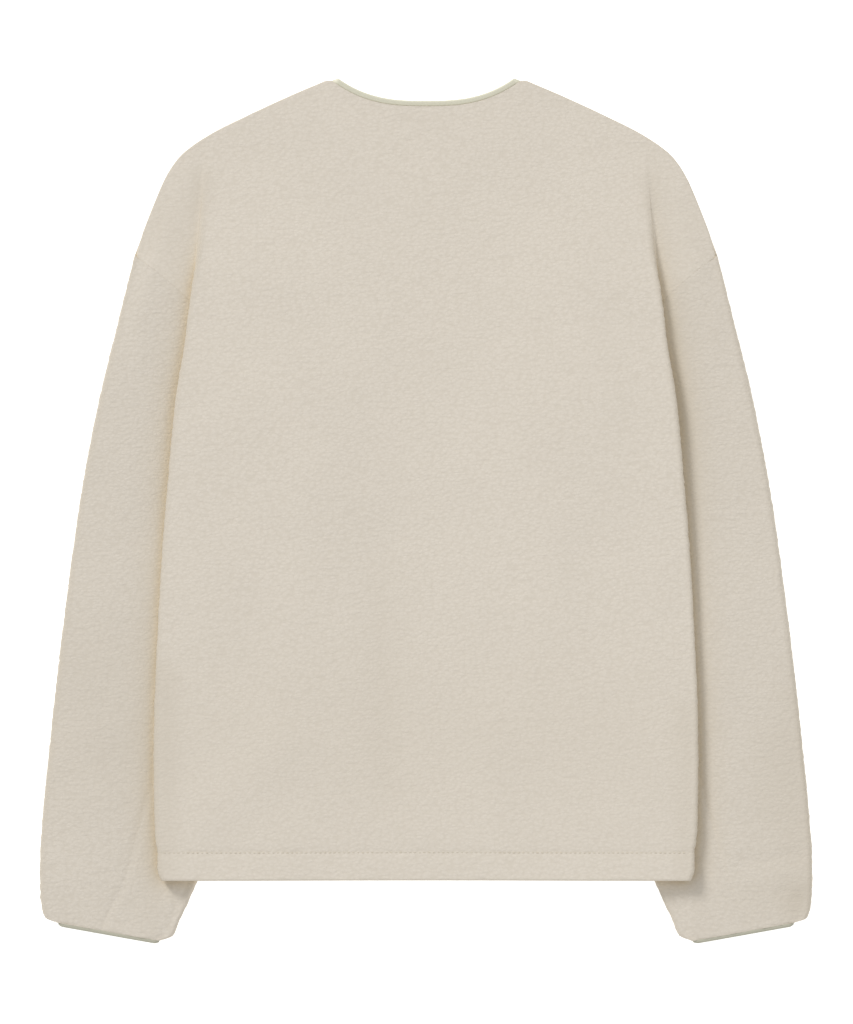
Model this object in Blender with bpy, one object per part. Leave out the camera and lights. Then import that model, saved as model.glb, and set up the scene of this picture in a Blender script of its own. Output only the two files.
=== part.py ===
"""Collarless sherpa jacket, laid flat on its front with the back up.

The sleeves are swung down beside the body and lie partly under it.  Each piece is a closed
wall of cloth.  X runs across the jacket, Y runs from hem to neck and Z is up.  The lengths
below are in millimetres, and the meshes are made in metres.
"""

import math
from collections import namedtuple

import bmesh
import bpy

MM = 0.001

# ---------------------------------------------------------------- cloth and layers
WALL = 4.0                        # sherpa fleece with its pile
GAP = 0.3                         # between sewn pieces, and between layers that touch
PITCH = WALL + GAP
TURN = PITCH / 2                  # centreline radius where a layer doubles back
BULGE = TURN + WALL / 2           # from that turn's centre to the outside of the fold
FLOOR_LAYER = WALL / 2            # centrelines of the lowest two layers
SLEEVE_LAYER = FLOOR_LAYER + PITCH

# ---------------------------------------------------------------- neck
NECK_HALF = 74.7                  # half the width between the shoulder points
NECK_TOP = 367.6                  # shoulder points
NECK_LOW = 348.5                  # lowest point of the back neck
NECK_POWER = 2.8                  # how square the back neck curve is
FRONT_NECK_DROP = 92.0            # front neck below the shoulder points
FRONT_NECK_END = 87.0             # where the front tape stops, in degrees round the neck
NECK_STEPS = 30
BINDING_WIDTH = 4.7
BINDING_THICK = 3.2
NECK_TAPE_RISE = 1.0              # the back neck's tape is level with the loose cloth there

# ---------------------------------------------------------------- body
HEM = -313.3
HEM_STITCH = -289.5               # top of the turned hem
HEM_GROOVE = 0.7                  # depth of the pile pulled in by that stitching
HEM_GROOVE_HALF = 2.2
NECK_LOFT = 1.6                   # how far the middle of the back stands above the sleeves'
BODY_LOFT = 6.5                   # upper cloth, at the neck and from LOFT_RUN below it
LOFT_RUN = 300.0
CLIMB_START = 12.0                # where the back starts to climb onto the cloth at its sides
FRONT_OPENING = 0.6               # the two fronts meet edge to edge
SHOULDER_MARGIN = 20.0            # plain cloth beside the shoulder, above the side fold
CUT_CLEAR = 40.0                  # how far a cutter reaches past what it cuts

# Outline from the shoulder point down to the armhole notch, right half.
Outline = namedtuple("Outline", "x y")
SHOULDER = [
    Outline(85.0, 365.6), Outline(116.3, 352.3), Outline(152.8, 335.4),
    Outline(186.0, 318.4), Outline(208.9, 301.4), Outline(220.7, 284.4),
    Outline(228.4, 267.4), Outline(235.2, 250.5), Outline(241.5, 233.5),
    Outline(245.5, 218.0),
]

# The body's side, right half: edge is the visible edge, inner is where the cloth that is
# tucked under it turns again, turn is how far both turns have closed, in degrees, and radius
# is theirs.  The two turns start as one soft slope below the shoulder.
SideRow = namedtuple("SideRow", "y edge inner turn radius")
SIDE = [
    SideRow(306.0, 187.0, 176.0, 0, 15.0), SideRow(290.0, 188.6, 176.0, 10.3, 14.0),
    SideRow(267.4, 190.1, 176.0, 23.8, 10.0), SideRow(250.5, 191.4, 176.0, 38.2, 7.0),
    SideRow(233.5, 192.6, 176.0, 56.6, 5.0), SideRow(218.0, 194.2, 176.0, 79.6, 3.6),
    SideRow(203.0, 196.2, 176.0, 109.5, 2.7), SideRow(190.0, 198.3, 176.0, 139.5, 2.3),
    SideRow(178.0, 200.0, 176.0, 167.6, TURN), SideRow(168.0, 201.4, 184.0, 180, 2.2),
    SideRow(158.0, 202.4, 166.0, 180, 2.25), SideRow(150.0, 203.2, 148.0, 180, 2.35),
    SideRow(94.0, 212.0, 128.0, 180, 2.9), SideRow(40.0, 217.2, 110.0, 180, 2.8),
    SideRow(-41.6, 223.8, 122.0, 180, 2.3), SideRow(-109.5, 227.6, 131.0, 180, TURN),
    SideRow(-160.5, 229.8, 138.5, 180, TURN), SideRow(-211.0, 230.6, 148.5, 180, 2.3),
    SideRow(-271.0, 229.6, 166.0, 180, 2.4), SideRow(-289.5, 227.6, 173.0, 180, 2.5),
    SideRow(-303.0, 227.4, 180.0, 180, 2.6), SideRow(HEM, 224.4, 184.0, 180, 2.7),
]

# Where the back has climbed onto the cloth at its sides: before the tucked cloth's inner turn.
Climb = namedtuple("Climb", "y end")
CLIMB = [
    Climb(306.0, 150.0), Climb(170.0, 150.0), Climb(94.0, 121.0), Climb(40.0, 103.0),
    Climb(-41.6, 115.0), Climb(-109.5, 124.0), Climb(-211.0, 141.0), Climb(-271.0, 158.0),
    Climb(HEM, 174.0),
]

# Soft folds that show on the back: a ridge (or a trough, where rise is negative) from one
# point to another, both sides of the jacket.
Fold = namedtuple("Fold", "x0 y0 x1 y1 half_width rise")
BACK_FOLDS = [
    Fold(-38, -15, -32, -250, 20, -0.8), Fold(-124, -25, -158, -160, 24, -0.6),
    Fold(134, -18, 156, -128, 22, -0.6), Fold(54, -160, 63, -288, 22, 0.7),
    Fold(-196, -275, -112, -190, 24, 1.1),
]

# ---------------------------------------------------------------- sleeves
ARMHOLE_BOW = 20.0                # how far the armhole seam curves up from a straight line
OUTER_COLUMNS = 4                 # top columns from the outer edge to the dart
INNER_COLUMNS = 4                 # and from the dart to the inner edge
DART_HALF = 2.0
CUFF_BINDING = 2.6
# Right sleeve, a row from its outer to its inner edge at each height.  dart is where the
# elbow dart runs, as a share of the way from the outer to the inner edge, and groove is its
# depth.
SleeveRow = namedtuple("SleeveRow", "outer_x outer_y inner_x inner_y dart groove")
SLEEVE = [
    SleeveRow(248.0, 217.0, 120.0, 40.0, 0.50, 0.0),
    SleeveRow(252.2, 199.5, 121.0, 30.0, 0.50, 0.0),
    SleeveRow(264.0, 151.0, 124.0, 8.0, 0.50, 0.0),
    SleeveRow(276.8, 97.6, 128.5, -22.0, 0.50, 0.0),
    SleeveRow(292.9, 12.7, 137.0, -75.0, 0.52, 0.0),
    SleeveRow(304.8, -72.2, 146.5, -130.0, 0.54, 0.0),
    SleeveRow(315.0, -157.0, 157.5, -190.0, 0.56, 0.0),
    SleeveRow(321.0, -214.0, 168.0, -234.0, 0.575, 0.2),
    SleeveRow(325.4, -260.0, 179.0, -271.0, 0.565, 0.6),
    SleeveRow(327.7, -298.0, 190.3, -305.0, 0.55, 0.6),
    SleeveRow(327.7, -322.0, 200.6, -329.0, 0.52, 0.6),
    SleeveRow(326.2, -337.0, 209.2, -347.5, 0.48, 0.6),
    SleeveRow(323.4, -345.4, 215.2, -360.8, 0.45, 0.5),
    SleeveRow(313.0, -349.6, 226.0, -365.2, 0.43, 0.4),
]

# The cloth beside the body stands up from the body's edge to a crest at each height.  Above
# the armhole it falls again towards the outline, and the sleeves' outer fold is puffed.
Crest = namedtuple("Crest", "y rise")
CREST = [
    Crest(306.0, 0.0), Crest(284.0, 0.7), Crest(250.0, 2.2), Crest(218.0, 3.6),
    Crest(180.0, 4.6), Crest(120.0, 4.6), Crest(40.0, 4.1), Crest(-100.0, 3.5),
    Crest(-260.0, 3.0), Crest(-310.0, 2.4), Crest(-330.0, 1.4), Crest(-350.0, 0.6),
]
CREST_START = 9.0                 # out from the body's edge, clear of its fold
CREST_RUN = 17.0
CREST_FALL = 20.0
PUFFED_RUN = 90.0                 # the outer fold is fully puffed this far below the armhole

CREAM = (0.66, 0.61, 0.52, 1.0)
SAGE = (0.52, 0.52, 0.40, 1.0)


# ---------------------------------------------------------------- small helpers
def smooth(value):
    """Ease from 0 to 1 as value goes from 0 to 1, flat at both ends."""
    value = min(max(value, 0.0), 1.0)
    return value * value * (3 - 2 * value)


def read_row(rows, key, at):
    """The row of a table at a height, straight between the rows above and below it."""
    rows = sorted(rows, key=key)
    if at <= key(rows[0]):
        return rows[0]
    for low, high in zip(rows, rows[1:]):
        if at <= key(high):
            share = (at - key(low)) / (key(high) - key(low))
            return type(low)(*[a + (b - a) * share for a, b in zip(low, high)])
    return rows[-1]


def shoulder_edge(y):
    return read_row(SHOULDER, lambda row: row.y, y).x


def side_row(y):
    return read_row(SIDE, lambda row: row.y, y)


def outer_edge(y):
    """The jacket's outermost edge at a height, down the shoulder and then the sleeve."""
    outline = SHOULDER + [Outline(row.outer_x, row.outer_y) for row in SLEEVE]
    return read_row(outline, lambda row: row.y, y).x


def crest_rise(x, y):
    """How far the cloth beside the body stands up at a point of the right half."""
    edge = side_row(max(y, HEM)).edge
    clear = math.hypot(max(x - edge - CREST_START, 0.0), max(HEM - y, 0.0))
    rise = read_row(CREST, lambda row: row.y, y).rise * (1 - math.exp(-clear / CREST_RUN))
    fall = smooth((outer_edge(y) - x - BULGE / 2) / CREST_FALL)
    puffed = smooth((SLEEVE[0].outer_y - y) / PUFFED_RUN)
    return rise * (fall + (1 - fall) * puffed)


def back_neck(x):
    """Height of the neck edge on the back, along the outside of the binding."""
    return NECK_LOW + (NECK_TOP - NECK_LOW) * abs(x / NECK_HALF) ** NECK_POWER


def front_neck_point(angle):
    """A point on the front neck edge, 0 at the centre front and 90 degrees at a shoulder."""
    return (NECK_HALF * math.sin(angle),
            NECK_TOP - FRONT_NECK_DROP * math.cos(angle))


def beside(path, distance):
    """A path moved sideways in plan, to the right of its direction."""
    moved = []
    for index, (x, y) in enumerate(path):
        before, after = path[max(index - 1, 0)], path[min(index + 1, len(path) - 1)]
        run = math.hypot(after[0] - before[0], after[1] - before[1])
        moved.append((x + (after[1] - before[1]) / run * distance,
                      y - (after[0] - before[0]) / run * distance))
    return moved


def back_neck_path():
    """The back neck edge, from the left shoulder point to the right one."""
    spots = [-NECK_HALF + 2 * NECK_HALF * step / NECK_STEPS for step in range(NECK_STEPS + 1)]
    return [(x, back_neck(x)) for x in spots]


def front_neck_path():
    """The right half of the front neck edge, from the centre to the shoulder."""
    steps = NECK_STEPS // 2
    return [front_neck_point(math.radians(FRONT_NECK_END) * step / steps)
            for step in range(steps + 1)]


def sleeve_stops(width, dart, start=BULGE):
    """Where a sleeve's top columns stand, from its outer fold across the dart."""
    before = [start + (dart - DART_HALF - start) * step / OUTER_COLUMNS
              for step in range(OUTER_COLUMNS + 1)]
    after = [dart + DART_HALF + (width - BULGE - dart - DART_HALF) * step / INNER_COLUMNS
             for step in range(INNER_COLUMNS + 1)]
    return before + [dart] + after


def armhole_shares():
    """The corners of the armhole seam, as shares of the way from notch to armpit."""
    top = SLEEVE[0]
    width = math.hypot(top.inner_x - top.outer_x, top.inner_y - top.outer_y)
    stops = sleeve_stops(width, width * top.dart)
    return [0.0] + [stop / width for stop in stops] + [1.0]


def armhole_point(share, inset=0.0):
    """A point of the right armhole seam, from the notch (0) to the armpit (1)."""
    top = SLEEVE[0]
    run_x = top.inner_x - top.outer_x
    run_y = top.inner_y - top.outer_y
    length = math.hypot(run_x, run_y)
    normal_x = run_y / length
    normal_y = -run_x / length
    rise = ARMHOLE_BOW * 4 * share * (1 - share) + inset
    return (top.outer_x + run_x * share + normal_x * rise,
            top.outer_y + run_y * share + normal_y * rise)


def fold_rise(x, y):
    """Height that the soft folds add to the back at a point."""
    rise = 0.0
    for fold in BACK_FOLDS:
        run_x, run_y = fold.x1 - fold.x0, fold.y1 - fold.y0
        length = math.hypot(run_x, run_y)
        along = ((x - fold.x0) * run_x + (y - fold.y0) * run_y) / length
        across = ((x - fold.x0) * run_y - (y - fold.y0) * run_x) / length
        fade = smooth((along + fold.half_width) / (2 * fold.half_width))
        fade *= smooth((length + fold.half_width - along) / (2 * fold.half_width))
        rise += fold.rise * fade * math.exp(-(across / fold.half_width) ** 2)
    return rise


# ---------------------------------------------------------------- meshes
def material(name, colour, roughness):
    made = bpy.data.materials.new(name)
    made.use_nodes = True
    shader = made.node_tree.nodes["Principled BSDF"]
    shader.inputs["Base Color"].default_value = colour
    shader.inputs["Roughness"].default_value = roughness
    shader.inputs["Metallic"].default_value = 0.0
    return made


def add_object(name, mesh_data, surface):
    mesh = bpy.data.meshes.new(name)
    mesh_data.normal_update()
    bmesh.ops.recalc_face_normals(mesh_data, faces=mesh_data.faces)
    mesh_data.to_mesh(mesh)
    mesh_data.free()
    mesh.shade_smooth()
    mesh.set_sharp_from_angle(angle=math.radians(40))
    mesh.materials.append(surface)
    made = bpy.data.objects.new(name, mesh)
    bpy.context.collection.objects.link(made)
    return made


def wall_mesh(outside, inside, closed):
    """A closed wall between two grids of points, each a list of rows.

    closed joins the last column to the first, for a tube that is open only at its ends.
    """
    mesh_data = bmesh.new()
    skins = [[[mesh_data.verts.new([value * MM for value in point]) for point in row]
              for row in grid] for grid in (outside, inside)]
    outer, inner = skins
    row_count, column_count = len(outer), len(outer[0])
    column_steps = column_count if closed else column_count - 1
    for row in range(row_count - 1):
        for column in range(column_steps):
            after = (column + 1) % column_count
            mesh_data.faces.new((outer[row][column], outer[row][after],
                                 outer[row + 1][after], outer[row + 1][column]))
            mesh_data.faces.new((inner[row][column], inner[row + 1][column],
                                 inner[row + 1][after], inner[row][after]))
    for row in (0, row_count - 1):
        for column in range(column_steps):
            after = (column + 1) % column_count
            mesh_data.faces.new((outer[row][column], inner[row][column],
                                 inner[row][after], outer[row][after]))
    if not closed:
        for column in (0, column_count - 1):
            for row in range(row_count - 1):
                mesh_data.faces.new((outer[row][column], outer[row + 1][column],
                                     inner[row + 1][column], inner[row][column]))
    return mesh_data


def plate_mesh(outline, low, high):
    """A flat plate with the given outline, between two heights."""
    mesh_data = bmesh.new()
    base = mesh_data.faces.new([mesh_data.verts.new((x * MM, y * MM, low * MM))
                                for x, y in outline])
    raised = bmesh.ops.extrude_face_region(mesh_data, geom=[base])["geom"]
    bmesh.ops.translate(mesh_data, vec=(0, 0, (high - low) * MM),
                        verts=[part for part in raised if isinstance(part, bmesh.types.BMVert)])
    return mesh_data


# ---------------------------------------------------------------- back
TOP_STEPS = 11                    # columns from the centre to the fold
TURN_STEPS = 6
MIDDLE_STEPS = 2
TAIL_STEPS = 3
ARMPIT = SLEEVE[0].inner_y
CLOSED = 180                      # degrees: the turns of the side fold lie flat
SHORT_RUN = 0.4                   # cloth between the two turns where they haven't closed
SEAM_SLOPE = 48                   # degrees at which the tucked cloth comes down to its seam
UNROLL = 34.0                     # below the armpit, the tucked edge swings down over this
UNROLL_TAIL = 3.4                 # and is this long past its turn while it does


class Section:
    """The centreline of a wall in X and Z, drawn by walking: given points, runs and turns."""

    def __init__(self, points):
        self.points = []
        for index, (x, z) in enumerate(points):
            heading = 0.0
            if 0 < index < len(points) - 1:
                before, after = points[index - 1], points[index + 1]
                heading = math.atan2(after[1] - before[1], after[0] - before[0])
            self.points.append((x, z, heading))
        self.x, self.z = points[-1]
        self.heading = 0.0

    def step(self, length, bend):
        self.x += math.cos(self.heading + bend / 2) * length
        self.z += math.sin(self.heading + bend / 2) * length
        self.heading += bend
        self.points.append((self.x, self.z, self.heading))

    def straight(self, length, steps):
        for _ in range(steps):
            self.step(length / steps, 0.0)

    def turn(self, angle, radius, steps):
        """Turn by an angle, to the right where it is negative, in short chords."""
        bend = angle / steps
        for _ in range(steps):
            self.step(2 * radius * math.sin(abs(bend) / 2), bend)

    def skins(self, y, pulled=0.0):
        """The points on the outside and the inside of the wall, at a height."""
        outside, inside = [], []
        for x, z, heading in self.points:
            across_x, across_z = -math.sin(heading), math.cos(heading)
            reach = WALL / 2 - pulled
            outside.append((x + across_x * reach, y, z + across_z * reach))
            inside.append((x - across_x * WALL / 2, y, z - across_z * WALL / 2))
        return outside, inside


def body_height(x, y, drop):
    """Centreline of the back at a point: from its loft in the middle it climbs to the sides.

    drop is how far the side's two turns come down to the sleeves' upper cloth.
    """
    loft = NECK_LOFT + (BODY_LOFT - NECK_LOFT) * smooth((SHOULDER[0].y - y) / LOFT_RUN)
    end = read_row(CLIMB, lambda row: row.y, y).end
    climb = smooth((abs(x) - CLIMB_START) / (end - CLIMB_START))
    return SLEEVE_LAYER + loft + (drop - loft) * climb + fold_rise(x, y)


def back_half(y, sign):
    """Half of the back's section at a height, from the centre to its seam."""
    side = side_row(y)
    turned = math.radians(side.turn)
    drop = 2 * side.radius * (1 - math.cos(turned)) + SHORT_RUN * math.sin(turned)
    bulge = side.radius + WALL / 2
    turn_start = side.edge - bulge * math.sin(min(turned, math.pi / 2))
    if side.turn == 0:
        turn_start = min(side.edge, shoulder_edge(y) - SHOULDER_MARGIN)
    spots = [turn_start * step / TOP_STEPS for step in range(TOP_STEPS + 1)]
    section = Section([(x, body_height(sign * x, y, drop)) for x in spots])

    radius = side.radius + (section.z - SLEEVE_LAYER - drop) / 4
    section.turn(-turned, radius, TURN_STEPS)
    tucked = section.x - side.inner if side.turn == CLOSED else SHORT_RUN
    section.straight(tucked, MIDDLE_STEPS)
    if y >= ARMPIT:
        section.turn(turned, radius, TURN_STEPS)
        section.straight(seam_end(y) - section.x, TAIL_STEPS)
        section.points[-TAIL_STEPS:] = [(x, z + crest_rise(x, y), heading)
                                        for x, z, heading in section.points[-TAIL_STEPS:]]
        return section
    swung = smooth((ARMPIT - y) / UNROLL)
    section.turn(math.pi - swung * math.radians(CLOSED - SEAM_SLOPE),
                 radius + (TURN - radius) * swung, TURN_STEPS)
    tail = UNROLL_TAIL
    if y <= ARMPIT - UNROLL:
        tail = (section.z - FLOOR_LAYER) / abs(math.sin(section.heading))
    section.straight(tail, TAIL_STEPS)
    return section


def seam_end(y):
    """Where the back ends beyond the fold: at the armhole seam, or at the shoulder."""
    corners = [armhole_point(share, GAP) for share in armhole_shares()]
    if y >= corners[0][1]:
        return shoulder_edge(y)
    for (x0, y0), (x1, y1) in zip(corners, corners[1:]):
        if y >= y1:
            return x0 + (x1 - x0) * (y - y0) / (y1 - y0)
    return corners[-1][0]


def side_seam(y):
    """How near the centre the tucked cloth comes on the floor, below the armpit."""
    outside, inside = back_half(y, 1).skins(y)
    return min(x for x, _, z in outside + inside if z < WALL + GAP)


def back_rows():
    """The heights at which the back has a row of points."""
    rows = {row.y for row in SIDE} | {row.y for row in SHOULDER}
    rows |= {armhole_point(share, GAP)[1] for share in armhole_shares()}
    rows |= {HEM_STITCH - HEM_GROOVE_HALF, HEM_STITCH + HEM_GROOVE_HALF}
    rows |= {ARMPIT - UNROLL * quarter / 4 for quarter in (1, 2, 3, 4)}
    return sorted(rows)


def make_back(surface):
    outside, inside = [], []
    for y in back_rows():
        pulled = HEM_GROOVE if y == HEM_STITCH else 0.0
        left, right = [back_half(y, sign).skins(y, pulled) for sign in (-1, 1)]
        for grid, left_skin, right_skin in zip((outside, inside), left, right):
            mirrored = [(-x, y, z) for x, y, z in reversed(left_skin[1:])]
            grid.append(mirrored + right_skin)
    back = add_object("back", wall_mesh(outside, inside, closed=False), surface)
    cut_neck(back)


def cut_neck(back):
    """Cut the back neck, a binding's width below the neck edge."""
    seat = beside(back_neck_path(), BINDING_WIDTH + GAP)
    (end_x, end_y), (near_x, near_y) = seat[-1], seat[-2]
    above = NECK_TOP + CUT_CLEAR
    beyond = end_x + (above - end_y) * (end_x - near_x) / (end_y - near_y)
    outline = [(-beyond, above)] + seat + [(beyond, above)]
    block = plate_mesh(outline, -CUT_CLEAR, CUT_CLEAR)
    cutter = add_object("neck_cutter", block, back.data.materials[0])
    cutter.hide_render = True
    cutter.display_type = "WIRE"
    cut = back.modifiers.new("neck", "BOOLEAN")
    cut.operation = "DIFFERENCE"
    cut.solver = "EXACT"
    cut.object = cutter


# ---------------------------------------------------------------- fronts
def make_front(name, sign, surface):
    """A front panel, flat on the floor under the back."""
    half_gap = FRONT_OPENING / 2
    outline = [(max(x, half_gap), y)
               for x, y in beside(front_neck_path(), BINDING_WIDTH + GAP)]
    outline += [(row.x, row.y) for row in SHOULDER]
    outline += [armhole_point(share, GAP) for share in armhole_shares()[1:]]
    unrolled = ARMPIT - UNROLL
    outline += [(side_seam(unrolled) - GAP, ARMPIT + GAP / 2)]
    outline += [(side_seam(y) - GAP, y) for y in reversed(back_rows()) if y <= unrolled]
    outline += [(half_gap, HEM)]
    outline = [(sign * x, y) for x, y in outline]
    return add_object(name, plate_mesh(outline, 0.0, WALL), surface)


# ---------------------------------------------------------------- sleeves
SLEEVE_ROWS_BETWEEN = 2           # rows worked out between two rows of the table
UNDER_COLUMNS = 5
INNER_FALL = 16.0                 # the sleeve's inner edge lies flat under the body


def sleeve_rows():
    rows = []
    for first, second in zip(SLEEVE, SLEEVE[1:]):
        for step in range(SLEEVE_ROWS_BETWEEN):
            share = step / SLEEVE_ROWS_BETWEEN
            rows.append(SleeveRow(*[a + (b - a) * share for a, b in zip(first, second)]))
    return rows + [SLEEVE[-1]]


def sleeve_ring(row, bow, sign, push=0.0):
    """The two skins of a sleeve at one row: along the top, round, back along the floor."""
    run_x, run_y = row.inner_x - row.outer_x, row.inner_y - row.outer_y
    width = math.hypot(run_x, run_y)
    along_x, along_y = run_x / width, run_y / width

    def place(distance, z):
        share = distance / width
        rise = bow * 4 * share * (1 - share) - push
        return (sign * (row.outer_x + along_x * distance + along_y * rise),
                row.outer_y + along_y * distance - along_x * rise, z)

    def crest(distance):
        share = distance / width
        bowed = bow * 4 * share * (1 - share) - push
        x = row.outer_x + along_x * distance + along_y * bowed
        y = row.outer_y + along_y * distance - along_x * bowed
        return crest_rise(x, y) * smooth((width - BULGE - distance) / INNER_FALL)

    dart = width * row.dart
    puffed = crest(BULGE)
    outer, inner = [], []
    for distance in sleeve_stops(width, dart, BULGE + puffed / 2):
        z = SLEEVE_LAYER + crest(distance)
        groove = row.groove if distance == dart else 0.0
        outer.append(place(distance, z + WALL / 2 - groove))
        inner.append(place(distance, z - WALL / 2))

    def turn(centre, start, radius):
        middle = FLOOR_LAYER + radius
        for step in range(1, TURN_STEPS):
            angle = start - math.pi * step / TURN_STEPS
            for skin, reach in ((outer, radius + WALL / 2), (inner, radius - WALL / 2)):
                skin.append(place(centre + math.cos(angle) * reach,
                                  middle + math.sin(angle) * reach))

    turn(width - BULGE, math.pi / 2, TURN)
    start, end = width - BULGE, BULGE + puffed / 2
    for step in range(UNDER_COLUMNS + 1):
        distance = start + (end - start) * step / UNDER_COLUMNS
        outer.append(place(distance, FLOOR_LAYER - WALL / 2))
        inner.append(place(distance, FLOOR_LAYER + WALL / 2))
    turn(end, -math.pi / 2, TURN + puffed / 2)
    return outer, inner


def make_sleeve(name, sign, surface):
    outside, inside = [], []
    rows = sleeve_rows()
    for index, row in enumerate(rows):
        bow = ARMHOLE_BOW * (1 - smooth(index / 8))
        outer, inner = sleeve_ring(row, bow, sign)
        outside.append(outer)
        inside.append(inner)
    return add_object(name, wall_mesh(outside, inside, closed=True), surface)


def make_cuff_binding(name, sign, surface):
    """The tape round the sleeve's end, a short flat tube."""
    outside, inside = [], []
    for push in (GAP, GAP + CUFF_BINDING):
        outer, inner = sleeve_ring(SLEEVE[-1]._replace(groove=0.0), 0.0, sign, push)
        outside.append(outer)
        inside.append(inner)
    return add_object(name, wall_mesh(outside, inside, closed=True), surface)


# ---------------------------------------------------------------- neck binding
def make_binding(name, path, layer, surface):
    """A tape along a path in plan, to the right of its direction, with rounded long edges."""
    low, high = layer - BINDING_THICK / 2, layer + BINDING_THICK / 2
    edge = 0.8
    profile = [(0, low + edge), (0, high - edge), (edge, high),
               (BINDING_WIDTH - edge, high), (BINDING_WIDTH, high - edge),
               (BINDING_WIDTH, low + edge), (BINDING_WIDTH - edge, low), (edge, low)]
    mesh_data = bmesh.new()
    lines = [[(x, y, z) for x, y in beside(path, across)] for across, z in profile]
    rings = [[mesh_data.verts.new([value * MM for value in point]) for point in ring]
             for ring in zip(*lines)]
    for ring, following in zip(rings, rings[1:]):
        for index in range(len(profile)):
            after = (index + 1) % len(profile)
            mesh_data.faces.new((ring[index], ring[after], following[after], following[index]))
    mesh_data.faces.new(rings[0])
    mesh_data.faces.new(rings[-1])
    return add_object(name, mesh_data, surface)


def make_neck_bindings(surface):
    make_binding("neck_binding_back", back_neck_path(), SLEEVE_LAYER + NECK_TAPE_RISE, surface)
    half_gap = FRONT_OPENING / 2
    right = [(max(x, half_gap), y) for x, y in front_neck_path()]
    left = [(-x, y) for x, y in reversed(right)]
    for side, path in (("left", left), ("right", right)):
        make_binding("neck_binding_front_" + side, path, FLOOR_LAYER, surface)


def main():
    for leftover in list(bpy.data.objects):
        bpy.data.objects.remove(leftover, do_unlink=True)
    sherpa = material("sherpa", CREAM, 0.95)
    tape = material("binding", SAGE, 0.7)
    make_back(sherpa)
    for side, sign in (("left", -1), ("right", 1)):
        make_front("front_" + side, sign, sherpa)
        make_sleeve("sleeve_" + side, sign, sherpa)
        make_cuff_binding("cuff_binding_" + side, sign, tape)
    make_neck_bindings(tape)


main()
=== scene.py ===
"""Looks of the collarless sherpa jacket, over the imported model.

Every cloth node is replaced by a finer piece of cloth in the same place.  The tables repeat
the CAD's named sizes, in millimetres; meshes are made in metres.  X runs across the jacket,
Y from hem to neck and Z up.
"""

import math
from collections import namedtuple

import bmesh
import bpy
import numpy as np
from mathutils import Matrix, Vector, kdtree, noise


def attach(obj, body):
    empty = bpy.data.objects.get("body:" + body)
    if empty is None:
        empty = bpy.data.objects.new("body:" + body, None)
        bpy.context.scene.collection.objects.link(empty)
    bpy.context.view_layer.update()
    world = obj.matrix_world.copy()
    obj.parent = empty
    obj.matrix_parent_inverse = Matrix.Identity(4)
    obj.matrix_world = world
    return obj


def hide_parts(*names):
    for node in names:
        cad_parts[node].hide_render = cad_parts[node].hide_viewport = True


MM = 0.001
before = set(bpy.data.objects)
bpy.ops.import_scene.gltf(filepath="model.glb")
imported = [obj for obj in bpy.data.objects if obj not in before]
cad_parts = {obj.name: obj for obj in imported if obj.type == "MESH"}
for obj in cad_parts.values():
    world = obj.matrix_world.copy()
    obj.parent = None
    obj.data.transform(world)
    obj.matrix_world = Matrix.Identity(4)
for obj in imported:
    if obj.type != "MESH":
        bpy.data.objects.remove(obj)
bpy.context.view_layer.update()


def table(kind, rows):
    """Rows whose columns have names."""
    return [kind(*row) for row in rows]


# ---- sizes shared with the CAD
WALL = 4.0
GAP = 0.3
PITCH = WALL + GAP
TURN = PITCH / 2
BULGE = TURN + WALL / 2
FLOOR_LAYER = WALL / 2
SLEEVE_LAYER = FLOOR_LAYER + PITCH

NECK_HALF = 74.7
NECK_TOP = 367.6
NECK_LOW = 348.5
NECK_POWER = 2.8
FRONT_NECK_DROP = 92.0
FRONT_NECK_END = 87.0
BINDING_WIDTH = 4.7
BINDING_THICK = 3.2
SHOULDER_TOP = 365.6

HEM = -313.3
HEM_STITCH = -289.5
NECK_LOFT = 1.6
BODY_LOFT = 6.5
LOFT_RUN = 300.0
CLIMB_START = 12.0
FRONT_OPENING = 0.6
SHOULDER_MARGIN = 20.0
SHORT_RUN = 0.4
SEAM_SLOPE = 48
UNROLL = 34.0
UNROLL_TAIL = 3.4
CLOSED = 180.0

Outline = namedtuple("Outline", "x y")
SHOULDER = table(Outline, [
    (85, 365.6), (116.3, 352.3), (152.8, 335.4), (186, 318.4), (208.9, 301.4), (220.7, 284.4),
    (228.4, 267.4), (235.2, 250.5), (241.5, 233.5), (245.5, 218),
])

SideRow = namedtuple("SideRow", "y edge inner turn radius")
SIDE = table(SideRow, [
    (306, 187, 176, 0, 15), (290, 188.6, 176, 10.3, 14), (267.4, 190.1, 176, 23.8, 10),
    (250.5, 191.4, 176, 38.2, 7), (233.5, 192.6, 176, 56.6, 5), (218, 194.2, 176, 79.6, 3.6),
    (203, 196.2, 176, 109.5, 2.7), (190, 198.3, 176, 139.5, 2.3), (178, 200, 176, 167.6, TURN),
    (168, 201.4, 184, 180, 2.2), (158, 202.4, 166, 180, 2.25), (150, 203.2, 148, 180, 2.35),
    (94, 212, 128, 180, 2.9), (40, 217.2, 110, 180, 2.8), (-41.6, 223.8, 122, 180, 2.3),
    (-109.5, 227.6, 131, 180, TURN), (-160.5, 229.8, 138.5, 180, TURN),
    (-211, 230.6, 148.5, 180, 2.3), (-271, 229.6, 166, 180, 2.4), (-289.5, 227.6, 173, 180, 2.5),
    (-303, 227.4, 180, 180, 2.6), (HEM, 224.4, 184, 180, 2.7),
])
Climb = namedtuple("Climb", "y end")
CLIMB = table(Climb, [
    (306, 150), (170, 150), (94, 121), (40, 103), (-41.6, 115), (-109.5, 124), (-211, 141),
    (-271, 158), (HEM, 174),
])
FOLD_END = SIDE[0].y              # above this the side fold has opened flat

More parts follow.
